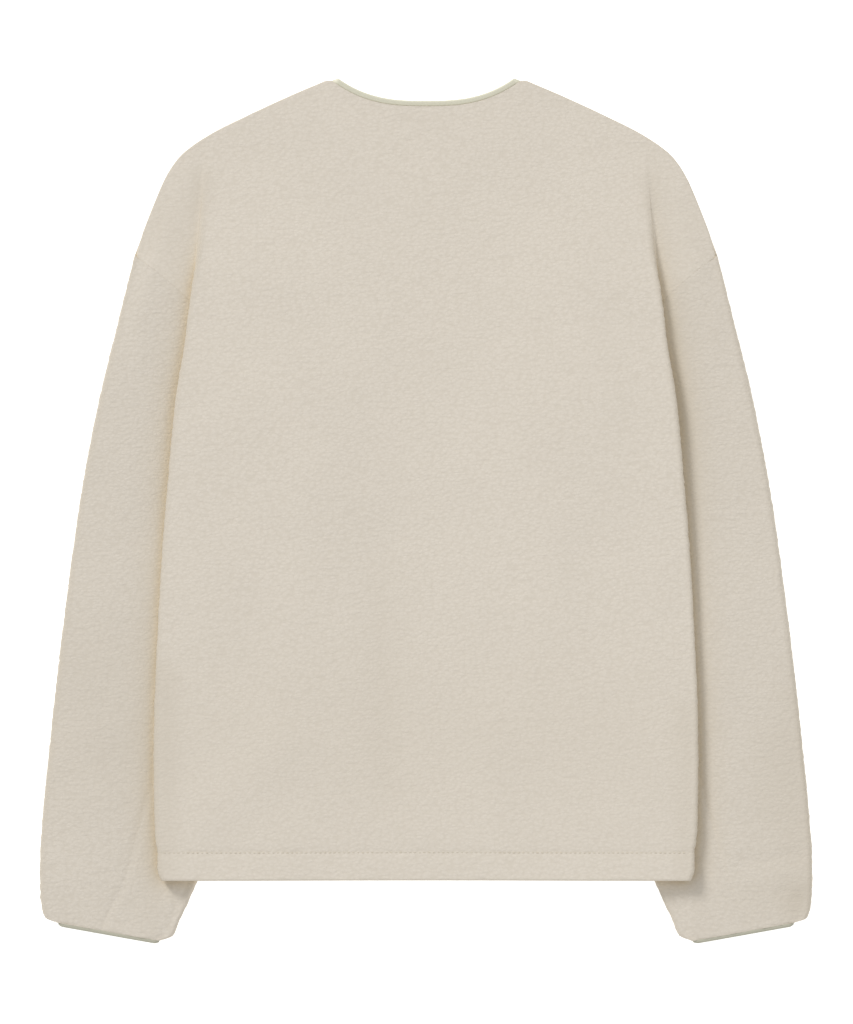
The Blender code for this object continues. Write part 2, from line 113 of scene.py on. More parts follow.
Fold = namedtuple("Fold", "x0 y0 x1 y1 half_width rise")
BACK_FOLDS = table(Fold, [
    (-38, -15, -32, -250, 20, -0.8), (-124, -25, -158, -160, 24, -0.6),
    (134, -18, 156, -128, 22, -0.6), (54, -160, 63, -288, 22, 0.7),
    (-196, -275, -112, -190, 24, 1.1),
])

SleeveRow = namedtuple("SleeveRow", "outer_x outer_y inner_x inner_y dart groove")
SLEEVE = table(SleeveRow, [
    (248, 217, 120, 40, 0.5, 0), (252.2, 199.5, 121, 30, 0.5, 0), (264, 151, 124, 8, 0.5, 0),
    (276.8, 97.6, 128.5, -22, 0.5, 0), (292.9, 12.7, 137, -75, 0.52, 0),
    (304.8, -72.2, 146.5, -130, 0.54, 0), (315, -157, 157.5, -190, 0.56, 0),
    (321, -214, 168, -234, 0.575, 0.2), (325.4, -260, 179, -271, 0.565, 0.6),
    (327.7, -298, 190.3, -305, 0.55, 0.6), (327.7, -322, 200.6, -329, 0.52, 0.6),
    (326.2, -337, 209.2, -347.5, 0.48, 0.6), (323.4, -345.4, 215.2, -360.8, 0.45, 0.5),
    (313, -349.6, 226, -365.2, 0.43, 0.4),
])
ARMPIT = SLEEVE[0].inner_y
ARMHOLE_BOW, ARMHOLE_STEPS = 20.0, 120
CUFF_BINDING = 2.6

# The cloth beside the body stands up from the body's edge to a crest at each height.  Above
# the armhole it falls again towards the outline, and the sleeves' outer fold is puffed.
Crest = namedtuple("Crest", "y rise")
CREST = table(Crest, [
    (306, 0), (284, 0.7), (250, 2.2), (218, 3.6), (180, 4.6), (120, 4.6), (40, 4.1), (-100, 3.5),
    (-260, 3), (-310, 2.4), (-330, 1.4), (-350, 0.6),
])
CREST_START = 2.0                 # the CAD's coarser columns start to rise a little later
CREST_RUN = 17.0
CREST_FALL = 20.0
PUFFED_RUN = 90.0

# ---- sizes of the looks alone
CELL = 2.3                        # grid of the outside of the cloth
EDGE_ROUND = 1.9                  # radius of a cut or folded edge
EDGE_STEPS = [0.0, 0.15, 0.56, 1.17, 1.9]     # rows that follow that radius
THIN_ROUND = 0.95                 # and the most of half a thin piece's thickness
BORDER_STEP = 0.5                 # spacing of the points that stand for a cut edge
SAME_POINT = 1e-6                 # in metres
PILE_FLAT = 0.13                  # height of the pile's lumps on open cloth
PILE_TURNED = 0.45                # on the outside of a turn, because the pile fans out
PILE_STAND = 0.3                  # and stands out there
PILE_TUCKED = 0.02                # and pressed into the inside of a turn
LUMP_LONG, LUMP_TALL = 5.2, 3.3   # size of a lump across and along the jacket
GRAIN = 2.7                       # and of the smaller curls
LUMP_RISE, GRAIN_RISE = 1.1, 0.8
GRAIN_SHIFT = 40                  # keeps the curls from following the lumps
TAPE_THICK = 3.0                  # of the cuffs' tape
TAPE_LAP = 1.6                    # it starts this far inside the cloth that it binds
TAPE_TUCKED = 1.3                 # and is drawn back at its folded ends
TAPE_END_RUN = 5.0
NECK_TAPE_RISE = 1.0              # the back neck's tape is level with the loose cloth there
NECK_LAP = 0.8                    # the pile lies this far over the neck's tape
NECK_SKEW = 0.62                  # slant of its ends, where it folds over
NECK_STEPS = 60                   # along half of the neck
SQUARED = 0.7                     # outside of a turn bulges this much at its shoulders
FOLD_SOFT, FOLD_EASE = 20.0, 80.0     # but not yet at the side fold's top end
SEAM_REACH = 0.14                 # the pile of sewn edges reaches this far over their gap
SEAM_SHARE = 0.2                  # and they are rounded this much of a cut edge's rounding

# Names for a cut's width, length and area, in metres and square metres along the cloth; no cut
# is given here.
# A sleeve's width would be all round it at the armhole, and its length along its outer edge.
Cut = namedtuple("Cut", "width length area")

OPEN_PILE_AND_SHADE = "open_pile_and_painted_shade"           # the meshes' attribute that darkens open pile, partly the roots' own colour and partly painted shade, and carries the painted shade patches

# Painted shade and shadow: soft patches where the colour is darkened for the shade on the lower
# body, the folds, the sleeves and the cuffs, and for the shadow beside the body's right edge; a
# rise of 1 is the look of open pile.
SHADE_PATCHES = table(Fold, [
    (-230, -190, 230, -190, 75, 0.25), (-38, -40, -32, -265, 18, 0.15),
    (-285, -90, -285, -250, 45, 0.25), (324, -130, 328, -330, 32, 0.55),
    (262, -325, 310, -335, 22, 0.25), (-224, 262, -238, 216, 18, 0.25),
    (222, 270, 238, 218, 18, 0.2), (-187, 290, -192, 250, 9, 0.45), (187, 290, 192, 250, 9, 0.4),
    (-221, -130, -221, -320, 13, 0.45), (222, -160, 221, -320, 13, 0.4),
    (209, 165, 219, 55, 4.5, 0.6), (290, -190, 290, -270, 18, 0.25),
    (318, -318, 312, -348, 12, 0.7),
])
# Painted shade the same way beside the body's edges, where the body shades the cloth next to it,
# on the left and the right.
ShadeBeside = namedtuple("ShadeBeside", "y left right")
PAINTED_SHADE_BESIDE = table(ShadeBeside, [
    (306, 0.15, 0.15), (250, 0.5, 0.7), (120, 0.15, 1.45), (0, 0.25, 0.85), (-100, 0.5, 0.4),
    (-313, 0.7, 0.45), (-370, 0.3, 0.3),
])
PAINTED_SHADE_BESIDE_START, PAINTED_SHADE_BESIDE_RUN = 5.0, 14.0

# Small soft creases that show only as light and shade.
SMALL_FOLDS = table(Fold, [
    (-60, 300, -150, 262, 22, 0.3), (70, 305, 160, 268, 22, 0.3), (160, 60, 182, -40, 20, -0.3),
    (-190, 80, -196, -60, 22, 0.3), (-70, -262, 10, -272, 12, 0.25),
    (90, -268, 190, -262, 12, 0.25), (-200, -240, -214, -150, 16, -0.3),
])
SHOULDER_FOLDS = table(Fold, [
    (-214, 262, -206, 214, 12, -0.5), (212, 262, 205, 214, 12, -0.4),
])
LEFT_SLEEVE_FOLDS = table(Fold, [
    (-288, 30, -238, -36, 15, -1.1), (-282, 62, -236, 8, 16, 0.7),
    (-312, -196, -250, -178, 12, 0.4), (-308, -226, -246, -214, 12, -0.4),
    (-316, -262, -262, -246, 12, 0.3), (-252, 196, -240, 120, 9, 0.6),
])
RIGHT_SLEEVE_FOLDS = table(Fold, [
    (300, -50, 252, -96, 15, 0.5), (290, 20, 246, -30, 16, -0.5), (322, -292, 262, -300, 9, -1),
    (326, -120, 336, -280, 26, -1.8), (320, -334, 300, -320, 7, -0.8),
    (252, 196, 240, 120, 9, 0.6),
])


# ---- small helpers
def smooth(value):
    """Ease from 0 to 1 as value goes from 0 to 1, flat at both ends."""
    value = min(max(value, 0.0), 1.0)
    return value * value * (3 - 2 * value)


def curve(keys, values, at):
    """A smooth curve through the values at the rising keys, without overshoot."""
    keys, values, at = (np.asarray(part, float) for part in (keys, values, at))
    slope = np.diff(values) / np.diff(keys)
    before, after = slope[:-1], slope[1:]
    level = before * after <= 0
    middle = np.where(level, 0.0, 2 * before * after / np.where(level, 1.0, before + after))
    tangent = np.concatenate(([slope[0]], middle, [slope[-1]]))
    index = np.clip(np.searchsorted(keys, at) - 1, 0, len(slope) - 1)
    step = keys[index + 1] - keys[index]
    t = np.clip((at - keys[index]) / step, 0, 1)
    return (values[index] * (1 + 2 * t) * (1 - t) ** 2
            + values[index + 1] * t * t * (3 - 2 * t)
            + tangent[index] * step * t * (1 - t) ** 2
            - tangent[index + 1] * step * t * t * (1 - t))


def column(rows, name):
    """One named column of a table."""
    return [getattr(row, name) for row in rows]


def read(rows, name, y):
    """A column read at a height, from rows that go down."""
    rows = rows[::-1]
    return curve(column(rows, "y"), column(rows, name), y)


def run_lengths(path):
    """Length along a path at each of its points."""
    return np.concatenate(([0.0], np.cumsum(np.linalg.norm(np.diff(path, axis=0), axis=1))))


def beside(path, distance):
    """A path moved sideways in plan, to the right of its direction."""
    path = np.asarray(path, float)
    run = np.gradient(path, axis=0)
    run /= np.linalg.norm(run, axis=1)[:, None]
    return path + np.stack([run[:, 1], -run[:, 0]], axis=1) * distance


def back_neck_path(steps):
    """The back neck's edge from the left neck point to the right one."""
    x = np.linspace(-NECK_HALF, NECK_HALF, steps + 1)
    y = NECK_LOW + (NECK_TOP - NECK_LOW) * np.abs(x / NECK_HALF) ** NECK_POWER
    return np.stack([x, y], axis=1)


def front_neck_path(steps):
    """The front neck's edge from its lowest point up to the right neck point."""
    angle = np.radians(np.linspace(0, FRONT_NECK_END, steps + 1))
    return np.stack([NECK_HALF * np.sin(angle), NECK_TOP - FRONT_NECK_DROP * np.cos(angle)],
                    axis=1)


def shoulder_x(y):
    """How far out the shoulder line is at a height."""
    return read(SHOULDER, "x", y)


def top_line(x):
    """Upper edge of the back at a place across: the neck seat, then the shoulder."""
    seat = beside(back_neck_path(NECK_STEPS), BINDING_WIDTH + GAP)
    if abs(x) <= seat[-1][0]:
        right = seat[NECK_STEPS // 2:]
        return float(np.interp(abs(x), right[:, 0], right[:, 1]))
    if abs(x) <= SHOULDER[0].x:
        rise = (seat[-1] - seat[-2])[1] / (seat[-1] - seat[-2])[0]
        return min(seat[-1][1] + rise * (abs(x) - seat[-1][0]), SHOULDER_TOP)
    return float(curve(column(SHOULDER, "x"), column(SHOULDER, "y"), abs(x)))


def outer_x(y):
    """The jacket's outermost edge at a height, down the shoulder and then the sleeve."""
    edge = [(row.outer_y, row.outer_x) for row in SLEEVE[::-1]]
    edge += [(row.y, row.x) for row in SHOULDER[::-1]]
    return float(np.interp(y, *zip(*edge)))


def armhole_curve(inset):
    """The right armhole seam from the notch to the armpit, moved outwards by inset."""
    top = SLEEVE[0]
    run = np.array([top.inner_x - top.outer_x, top.inner_y - top.outer_y])
    length = np.linalg.norm(run)
    share = np.linspace(0, 1, ARMHOLE_STEPS + 1)[:, None]
    rise = ARMHOLE_BOW * 4 * share * (1 - share) + inset
    across = np.array([run[1], -run[0]]) / length
    return np.array([top.outer_x, top.outer_y]) + run * share + across * rise


ARMHOLE_BACK = armhole_curve(GAP - SEAM_REACH)
TUCKED = [row.edge - BULGE - row.inner if row.turn == CLOSED else SHORT_RUN
          for row in SIDE[::-1]]


def crest_rise(x, y):
    """How far the cloth beside the body stands up at a point of the right half."""
    edge = float(read(SIDE, "edge", max(y, HEM)))
    clear = math.hypot(max(x - edge - CREST_START, 0.0), max(HEM - y, 0.0))
    rise = float(read(CREST, "rise", y))
    fall = smooth((outer_x(y) - x - BULGE / 2) / CREST_FALL)
    puffed = smooth((SLEEVE[0].outer_y - y) / PUFFED_RUN)
    return rise * (1 - math.exp(-clear / CREST_RUN)) * (fall + (1 - fall) * puffed)


def body_height(x, y, drop):
    """Centreline of the back at a point: from its loft in the middle it climbs to the sides."""
    loft = NECK_LOFT + (BODY_LOFT - NECK_LOFT) * smooth((SHOULDER[0].y - y) / LOFT_RUN)
    end = float(read(CLIMB, "end", min(y, FOLD_END)))
    climb = smooth((abs(x) - CLIMB_START) / (end - CLIMB_START))
    return SLEEVE_LAYER + loft + (drop - loft) * climb


def fold_rise(folds, x, y):
    """Height that soft folds add at a point."""
    rise = 0.0
    for fold in folds:
        run_x, run_y = fold.x1 - fold.x0, fold.y1 - fold.y0
        length = math.hypot(run_x, run_y)
        across = ((x - fold.x0) * run_y - (y - fold.y0) * run_x) / length
        if abs(across) > 3 * fold.half_width:
            continue
        along = ((x - fold.x0) * run_x + (y - fold.y0) * run_y) / length
        fade = smooth((along + fold.half_width) / (2 * fold.half_width))
        fade *= smooth((length + fold.half_width - along) / (2 * fold.half_width))
        rise += fold.rise * fade * math.exp(-(across / fold.half_width) ** 2)
    return rise


def spaced(start, end, spacing, first_edge=True, last_edge=True):
    """Places from start up to end, about spacing apart and closer where an edge is rounded.

    The number of steps is a multiple of four, so that every fourth place has its own row on
    the inside of the cloth.
    """
    low = start + EDGE_STEPS[-1] if first_edge else start
    high = end - EDGE_STEPS[-1] if last_edge else end
    count = max(int(round((high - low) / spacing / 4)), 1) * 4
    places = list(np.linspace(low, high, count + 1))
    if first_edge:
        places = [start + step for step in EDGE_STEPS[:-1]] + places
    if last_edge:
        places += [end - step for step in reversed(EDGE_STEPS[:-1])]
    return places


# ---- cloth
def pile(point):
    """The pile's lumps at a point, from about -1 to 1."""
    x, y, z = point
    lump = noise.noise(Vector((x / LUMP_LONG, y / LUMP_TALL, z / LUMP_LONG)))
    curl = noise.noise(Vector((x / GRAIN + GRAIN_SHIFT, y / GRAIN, z / GRAIN)))
    return LUMP_RISE * lump + GRAIN_RISE * curl


def painted_pile_shade(grid):
    """How much painted shade and shadow darkens the pile at each point of a grid: soft patches,
    and the shade beside the body's edges.
    """
    tone = np.array([[fold_rise(SHADE_PATCHES, x, y) for x, y, _ in row] for row in grid])
    x, y = grid[..., 0], grid[..., 1]
    clear = np.maximum(np.abs(x) - read(SIDE, "edge", y), 0.0)
    # Painted shade beside the body's edges, fading away from them.
    strength = np.where(x < 0, read(PAINTED_SHADE_BESIDE, "left", y), read(PAINTED_SHADE_BESIDE, "right", y))
    return tone + strength * (1 - np.exp(-clear / PAINTED_SHADE_BESIDE_START)) * np.exp(-clear / PAINTED_SHADE_BESIDE_RUN)


def border_distance(grid, closed):
    """How far each point of a grid is from the grid's cut edges."""
    lines = [grid[0], grid[-1]]
    if closed:
        lines = [np.concatenate([line, line[:1]]) for line in lines]
    else:
        lines += [grid[:, 0], grid[:, -1]]
    spots = []
    for line in lines:
        for start, end in zip(line, line[1:]):
            count = int(np.linalg.norm(end - start) / BORDER_STEP) + 1
            spots += [start + (end - start) * step / count for step in range(count)]
    tree = kdtree.KDTree(len(spots))
    for index, spot in enumerate(spots):
        tree.insert(spot, index)
    tree.balance()
    return np.array([[tree.find(point)[2] for point in row] for row in grid])


def wall_faces(rows, columns, stride, closed):
    """Faces of a wall of cloth: its outside, its coarser inside and the edges between them."""
    few_rows, few_columns = len(range(0, rows, stride[0])), len(range(0, columns, stride[1]))
    ends = 0 if closed else 1

    def outer(row, place):
        return row * columns + place % columns

    def inner(row, place):
        return rows * columns + row * few_columns + place % few_columns

    faces = [(outer(row, place), outer(row, place + 1),
              outer(row + 1, place + 1), outer(row + 1, place))
             for row in range(rows - 1) for place in range(columns - ends)]
    faces += [(inner(row, place), inner(row + 1, place),
               inner(row + 1, place + 1), inner(row, place + 1))
              for row in range(few_rows - 1) for place in range(few_columns - ends)]
    for row, few_row in ((0, 0), (rows - 1, few_rows - 1)):
        for place in range(few_columns - ends):
            ring = [outer(row, place * stride[1] + step) for step in range(stride[1] + 1)]
            faces.append(ring + [inner(few_row, place + 1), inner(few_row, place)])
    if not closed:
        for place, few_place in ((0, 0), (columns - 1, few_columns - 1)):
            for row in range(few_rows - 1):
                ring = [outer(row * stride[0] + step, place) for step in range(stride[0] + 1)]
                faces.append(ring + [inner(row + 1, few_place), inner(row, few_place)])
    return faces


def cloth(name, middle, normal, surface, pressed=0.0, pile_height=PILE_FLAT, sewn=0.0,
          closed=False, stride=(4, 2), thick=WALL):
    """A wall of cloth round a grid of points, with rounded edges.

    The outside is as fine as the grid and carries the pile; the inside has every stride-th
    row and column.  pressed is how far the outside is drawn in, as by stitching, and sewn is
    1 near an edge that is sewn to another piece.
    """
    middle, normal = np.asarray(middle, float), np.asarray(normal, float)
    radius = min(EDGE_ROUND, thick / 2 * THIN_ROUND)
    near = np.clip(1 - border_distance(middle, closed) / radius, 0, 1)
    near = near * (1 - sewn * (1 - SEAM_SHARE))
    half = thick / 2 - radius * (1 - np.sqrt(1 - near ** 2))
    lump = 0.0
    if np.any(pile_height):
        lump = np.array([[pile(point) for point in row] for row in middle])
        lump *= pile_height + (PILE_TURNED - PILE_FLAT) * near
    outside = middle + normal * (half - pressed + lump)[..., None]
    inside = (middle - normal * half[..., None])[::stride[0], ::stride[1]]
    outside[..., 2] = np.maximum(outside[..., 2], 0.0)
    inside[..., 2] = np.maximum(inside[..., 2], 0.0)

    faces = wall_faces(*middle.shape[:2], stride, closed)
    points = np.concatenate([outside.reshape(-1, 3), inside.reshape(-1, 3)]) * MM
    # Darker where the pile stands open at turns and cut edges: partly its roots' own colour and
    # partly painted shade that keeps those slopes from looking lit. Painted patches of shade and
    # shadow are added to it.
    opened = np.clip((pile_height - PILE_FLAT) / (PILE_TURNED - PILE_FLAT), 0, 1)
    opened = np.maximum(opened + painted_pile_shade(middle), near).ravel()
    return add_piece(name, points.tolist(), faces, surface, opened)


def add_piece(name, points, faces, surface, opened=()):
    """A mesh object; opened says how far the pile stands open at its first points, with painted
    shade added to it.
    """
    mesh = bpy.data.meshes.new(name)
    mesh.from_pydata(points, [], faces)
    values = mesh.attributes.new(OPEN_PILE_AND_SHADE, "FLOAT", "POINT").data
    for value, share in zip(values, opened):
        value.value = share
    mesh_data = bmesh.new()
    mesh_data.from_mesh(mesh)
    bmesh.ops.remove_doubles(mesh_data, verts=mesh_data.verts, dist=SAME_POINT)
    bmesh.ops.recalc_face_normals(mesh_data, faces=mesh_data.faces)
    mesh_data.to_mesh(mesh)
    mesh_data.free()
    mesh.shade_smooth()
    mesh.materials.append(surface)
    return link(name, mesh)


Dent = namedtuple("Dent", "depth reach")
HEM_DENTS = [Dent(0.3, 1.3), Dent(0.4, 5.0)]
SEAM_DENTS = [Dent(0.2, 1.2), Dent(0.8, 4.0)]     # shares of a seam's own depth


def dented(dents, away):
    """How deep a row of sewing draws the pile in, at a distance from it."""
    return sum(dent.depth * math.exp(-(away / dent.reach) ** 2) for dent in dents)


def hem_press(y):
    return dented(HEM_DENTS, y - HEM_STITCH)


# ---- back
TOP_COLUMNS = 92
TURN_COLUMNS = 10
TUCK_COLUMNS = 12
TAIL_COLUMNS = 8                  # and four more that round its edge
UPPER_ROWS = 24                   # rows above the side fold, and four more for the edge
UPPER_EDGE = 0.2                  # most of their height that the rounded edge takes
HEM_ZONE, HEM_ZONE_ROWS = 5.0, 12     # closer rows on both sides of the hem's stitching
NOTCH_EASE = 4.0                  # the armhole's seam starts over this length
NECK_END = 6.0                    # the neck's bound edge ends this far before the shoulder


class Walk:
    """A section of cloth in X and Z, drawn by walking along its centreline.

    Each point is (x, z, heading, height of the pile, how far its outside is squared out).
    """

    def __init__(self, x, z):
        self.x, self.z, self.heading = x, z, 0.0
        self.points = []

    def step(self, length, bend, pile_height=PILE_FLAT, squared=0.0):
        self.x += math.cos(self.heading + bend / 2) * length
        self.z += math.sin(self.heading + bend / 2) * length
        self.heading += bend
        self.points.append((self.x, self.z, self.heading, pile_height, squared))

    def straight(self, lengths):
        for length in lengths:
            self.step(length, 0.0)

    def turn(self, angle, radius):
        bend = angle / TURN_COLUMNS
        outward = angle < 0
        for step in range(1, TURN_COLUMNS + 1):
            opened = math.sin(math.pi * step / TURN_COLUMNS)
            pile_height = PILE_FLAT + (PILE_TURNED - PILE_FLAT) * opened
            squared = SQUARED * math.sin(2 * bend * step) ** 2 + PILE_STAND * opened
            self.step(2 * radius * math.sin(abs(bend) / 2), bend,
                      pile_height if outward else PILE_TUCKED, squared * outward)


def read_side(y):
    """The side's row at a height, and how much cloth is tucked between its turns."""
    side = SideRow(*[float(read(SIDE, name, y)) for name in SideRow._fields])
    return side, float(np.interp(y, column(SIDE[::-1], "y"), TUCKED))


def seam_end(y):
    """Where the back ends beyond the fold: at the armhole seam, or at the shoulder."""
    if y >= ARMHOLE_BACK[0][1]:
        return float(shoulder_x(min(y, FOLD_END)))
    return float(np.interp(y, ARMHOLE_BACK[::-1, 1], ARMHOLE_BACK[::-1, 0]))


def back_half(y, sign):
    """Half of the back's section at a height, from the centre to the seam, as Walk's points."""
    side, tucked = read_side(y)
    turned = math.radians(side.turn)
    drop = 2 * side.radius * (1 - math.cos(turned)) + SHORT_RUN * math.sin(turned)
    bulge = side.radius + WALL / 2
    turn_start = side.edge - bulge * math.sin(min(turned, math.pi / 2))
    if turned <= 0:
        turn_start = min(turn_start, seam_end(y) - SHOULDER_MARGIN)
    points = []
    for step in range(TOP_COLUMNS + 1):
        x = turn_start * step / TOP_COLUMNS
        z = body_height(x, y, drop) + fold_rise(BACK_FOLDS + SMALL_FOLDS, sign * x, y)
        points.append((x, z, 0.0, PILE_FLAT, 0.0))

    walk = Walk(points[-1][0], points[-1][1])
    radius = side.radius + (walk.z - SLEEVE_LAYER - drop) / 4
    walk.turn(-turned, radius)
    walk.straight([tucked / TUCK_COLUMNS] * TUCK_COLUMNS)
    if y >= ARMPIT:
        walk.turn(turned, radius)
        tail = seam_end(y) - walk.x
    else:
        swung = smooth((ARMPIT - y) / UNROLL)
        walk.turn(math.pi - swung * math.radians(CLOSED - SEAM_SLOPE),
                  radius + (TURN - radius) * swung)
        tail = UNROLL_TAIL
        if y <= ARMPIT - UNROLL:
            tail = (walk.z - FLOOR_LAYER) / abs(math.sin(walk.heading))
    ends = [min(step, tail / 3) for step in EDGE_STEPS]
    walk.straight([(tail - ends[-1]) / TAIL_COLUMNS] * TAIL_COLUMNS)
    walk.straight([ends[step + 1] - ends[step] for step in (3, 2, 1, 0)])
    if y >= ARMPIT:
        tail_points = walk.points[-TAIL_COLUMNS - len(EDGE_STEPS) + 1:]
        walk.points[-len(tail_points):] = [
            (x, z + crest_rise(x, y) + fold_rise(SHOULDER_FOLDS, sign * x, y), *rest)
            for x, z, *rest in tail_points]
    return points + walk.points


def back_rows():
    """Heights of the back's rows up to the end of the side fold."""
    low = spaced(HEM, HEM_STITCH - HEM_ZONE, CELL, last_edge=False)
    groove = list(np.linspace(HEM_STITCH - HEM_ZONE, HEM_STITCH + HEM_ZONE, HEM_ZONE_ROWS + 1))
    return low + groove[1:] + spaced(groove[-1], FOLD_END, CELL, False, False)[1:]


def make_back(surface):
    grid, facing, pressed, heights, sewn = [], [], [], [], []
    for y in back_rows():
        left, right = back_half(y, -1), back_half(y, 1)
        row = [(-x, z, -heading, *rest) for x, z, heading, *rest in left[:0:-1]] + right
        folded = smooth((FOLD_END - FOLD_SOFT - y) / FOLD_EASE)
        grid.append([(point[0], y, point[1]) for point in row])
        facing.append([(-math.sin(point[2]), 0, math.cos(point[2])) for point in row])
        heights.append([PILE_FLAT + (point[3] - PILE_FLAT) * folded for point in row])
        pressed.append([hem_press(y) - point[4] * folded for point in row])
        edge = smooth((ARMHOLE_BACK[0][1] - y) / NOTCH_EASE)
        ends = 2 * len(EDGE_STEPS)
        sewn.append([edge] * ends + [0.0] * (len(row) - 2 * ends) + [edge] * ends)

    across = [x for x, _, _ in grid[-1]]
    tops = [max(top_line(x), FOLD_END) for x in across]
    shares = [(step / UPPER_ROWS, 0.0) for step in range(1, UPPER_ROWS + 1)]
    shares += [(1.0, 1 - step / EDGE_STEPS[-1]) for step in EDGE_STEPS[-2::-1]]
    for share, edge_share in shares:
        row = []
        for x, top in zip(across, tops):
            height = top - FOLD_END
            edge = min(EDGE_STEPS[-1], height * UPPER_EDGE)
            y = FOLD_END + (height - edge) * share + edge * edge_share
            z = body_height(x, y, 0.0) + fold_rise(BACK_FOLDS + SMALL_FOLDS, x, y)
            row.append((x, y, z))
        grid.append(row)
        facing.append([(0, 0, 1)] * len(row))
        heights.append([PILE_FLAT] * len(row))
        pressed.append([0.0] * len(row))
        sewn.append([float(abs(x) < SHOULDER[0].x - NECK_END) for x, _, _ in row])
    return cloth("sherpa_back", grid, facing, surface, np.array(pressed), np.array(heights),
                 np.array(sewn))


# ---- sleeves
UNDERARM_SEAM = 8.0               # from the sleeve's inner edge to its long seam
UNDERARM_DEPTH = 0.35
SEAM_ZONE = 6.0                   # closer columns this far on both sides of a seam
TOP_COUNTS = [28, 14, 26, 10]     # columns up to the dart, over it, up to the seam and over it
FLOOR_COUNT = 40
INNER_FALL = 16.0                 # the crest falls over this width to the inner fold
BOWED_ROWS = 4                    # the armhole's bow is gone by this row of the table
CUFF_SEWN = 0.5                   # the pile at the cuff's tape is half as round as a cut edge
CUFF_TAPE_STEPS = 10
SLEEVE_KEYS = np.concatenate(([0.0], np.cumsum([
    math.hypot(low.outer_x - high.outer_x, low.outer_y - high.outer_y)
    for high, low in zip(SLEEVE, SLEEVE[1:])])))


def read_sleeve(along):
    """The sleeve's row at a length from the armhole, and how far that row is bowed."""
    row = SleeveRow(*[float(curve(SLEEVE_KEYS, column(SLEEVE, name), along))
                      for name in SleeveRow._fields])
    place = float(np.interp(along, SLEEVE_KEYS, range(len(SLEEVE_KEYS))))
    return row, ARMHOLE_BOW * (1 - smooth(place / BOWED_ROWS))


def sleeve_ring(row, bow, sign, folds, push=0.0, tucked=0.0):
    """One ring of a sleeve: its centreline, normals, pressed and pile values.

    push moves it out past the cloth's end, and tucked draws its folded ends back again.
    """
    run_x, run_y = row.inner_x - row.outer_x, row.inner_y - row.outer_y
    width = math.hypot(run_x, run_y)
    along_x, along_y = run_x / width, run_y / width
    dart, seam = width * row.dart, width - UNDERARM_SEAM
    ring = []

    def plan(distance, drawn=0.0):
        share = distance / width
        up = bow * 4 * share * (1 - share) - push + drawn
        return (row.outer_x + along_x * distance + along_y * up,
                row.outer_y + along_y * distance - along_x * up)

    def add(distance, z, turn_x=0.0, turn_z=1.0, pressed=0.0, height=PILE_FLAT):
        x, y = plan(distance, tucked * (1 - smooth(min(distance, width - distance)
                                                   / TAPE_END_RUN)))
        ring.append(((sign * x, y, z),
                     (sign * along_x * turn_x, along_y * turn_x, turn_z), pressed, height))

    def rise(distance):
        x, y = plan(distance)
        up = crest_rise(x, y) + fold_rise(folds, sign * x, y)
        return up * smooth((width - BULGE - distance) / INNER_FALL)

    puffed = max(rise(BULGE), 0.0)
    start, end = BULGE + puffed / 2, width - BULGE
    stops = [start, dart - SEAM_ZONE, dart + SEAM_ZONE, seam - SEAM_ZONE, end]
    spots = [np.linspace(low, high, count + 1)[:-1]
             for low, high, count in zip(stops, stops[1:], TOP_COUNTS)]
    for distance in [*np.concatenate(spots), end]:
        add(distance, SLEEVE_LAYER + rise(distance),
            pressed=(row.groove * dented(SEAM_DENTS, distance - dart)
                     + UNDERARM_DEPTH * dented(SEAM_DENTS, distance - seam)))

    def turn(centre, first, radius, stand=0.0):
        middle = FLOOR_LAYER + radius
        for step in range(1, TURN_COLUMNS):
            angle = first - math.pi * step / TURN_COLUMNS
            opened = math.sin(math.pi * step / TURN_COLUMNS)
            squared = SQUARED * math.sin(2 * angle) ** 2 * (angle > 0 or angle < -math.pi)
            add(centre + math.cos(angle) * radius, middle + math.sin(angle) * radius,
                math.cos(angle), math.sin(angle), -squared - stand * opened,
                PILE_FLAT + (PILE_TURNED - PILE_FLAT) * opened)

    turn(end, math.pi / 2, TURN)
    for distance in np.linspace(end, start, FLOOR_COUNT + 1):
        add(distance, FLOOR_LAYER, turn_z=-1.0)
    turn(start, -math.pi / 2, TURN + puffed / 2, PILE_STAND)
    return zip(*ring)


def make_sleeve(side, sign, folds, surface):
    grid, facing, pressed, heights = [], [], [], []
    lengths = spaced(0, SLEEVE_KEYS[-1], CELL)
    for along in lengths:
        row, bow = read_sleeve(along)
        reach = -SEAM_REACH * max(1 - along / EDGE_STEPS[-1], 0.0)
        ring = sleeve_ring(row, bow, sign, folds, reach)
        for table, values in zip((grid, facing, pressed, heights), ring):
            table.append(values)
    sewn = np.array([[1.0 if along < CELL else CUFF_SEWN * (along > lengths[-1] - CELL)]
                     for along in lengths])
    return cloth("sherpa_sleeve_" + side, grid, facing, surface, np.array(pressed),
                 np.array(heights), sewn, closed=True)


def make_cuff_tape(side, sign, folds, surface):
    """The tape that binds the sleeve's end, a short flat tube with rounded edges."""
    grid, facing = [], []
    row = SLEEVE[-1]._replace(groove=0.0)
    for step in np.linspace(0, 1, CUFF_TAPE_STEPS + 1):
        push = GAP - TAPE_LAP + (CUFF_BINDING + TAPE_LAP) * (1 - math.cos(math.pi * step)) / 2
        points, normals, _, _ = sleeve_ring(row, 0.0, sign, folds, push, TAPE_TUCKED * step)
        grid.append(points)
        facing.append(normals)
    return cloth("cuff_tape_" + side, grid, facing, surface, pile_height=0.0, closed=True,
                 stride=(1, 1), thick=TAPE_THICK)


# ---- fronts
FRONT_COLUMNS = 64
FRONT_WIDE = 200.0                # for the spacing of its columns
FRONT_ROWS = [96, 4, 56, 44]      # below the armpit, beside it, to the neck and above
ARMPIT_STEP = 4.0
SEAM_POINTS, SHOULDER_POINTS = 40, 60     # along its outer edge


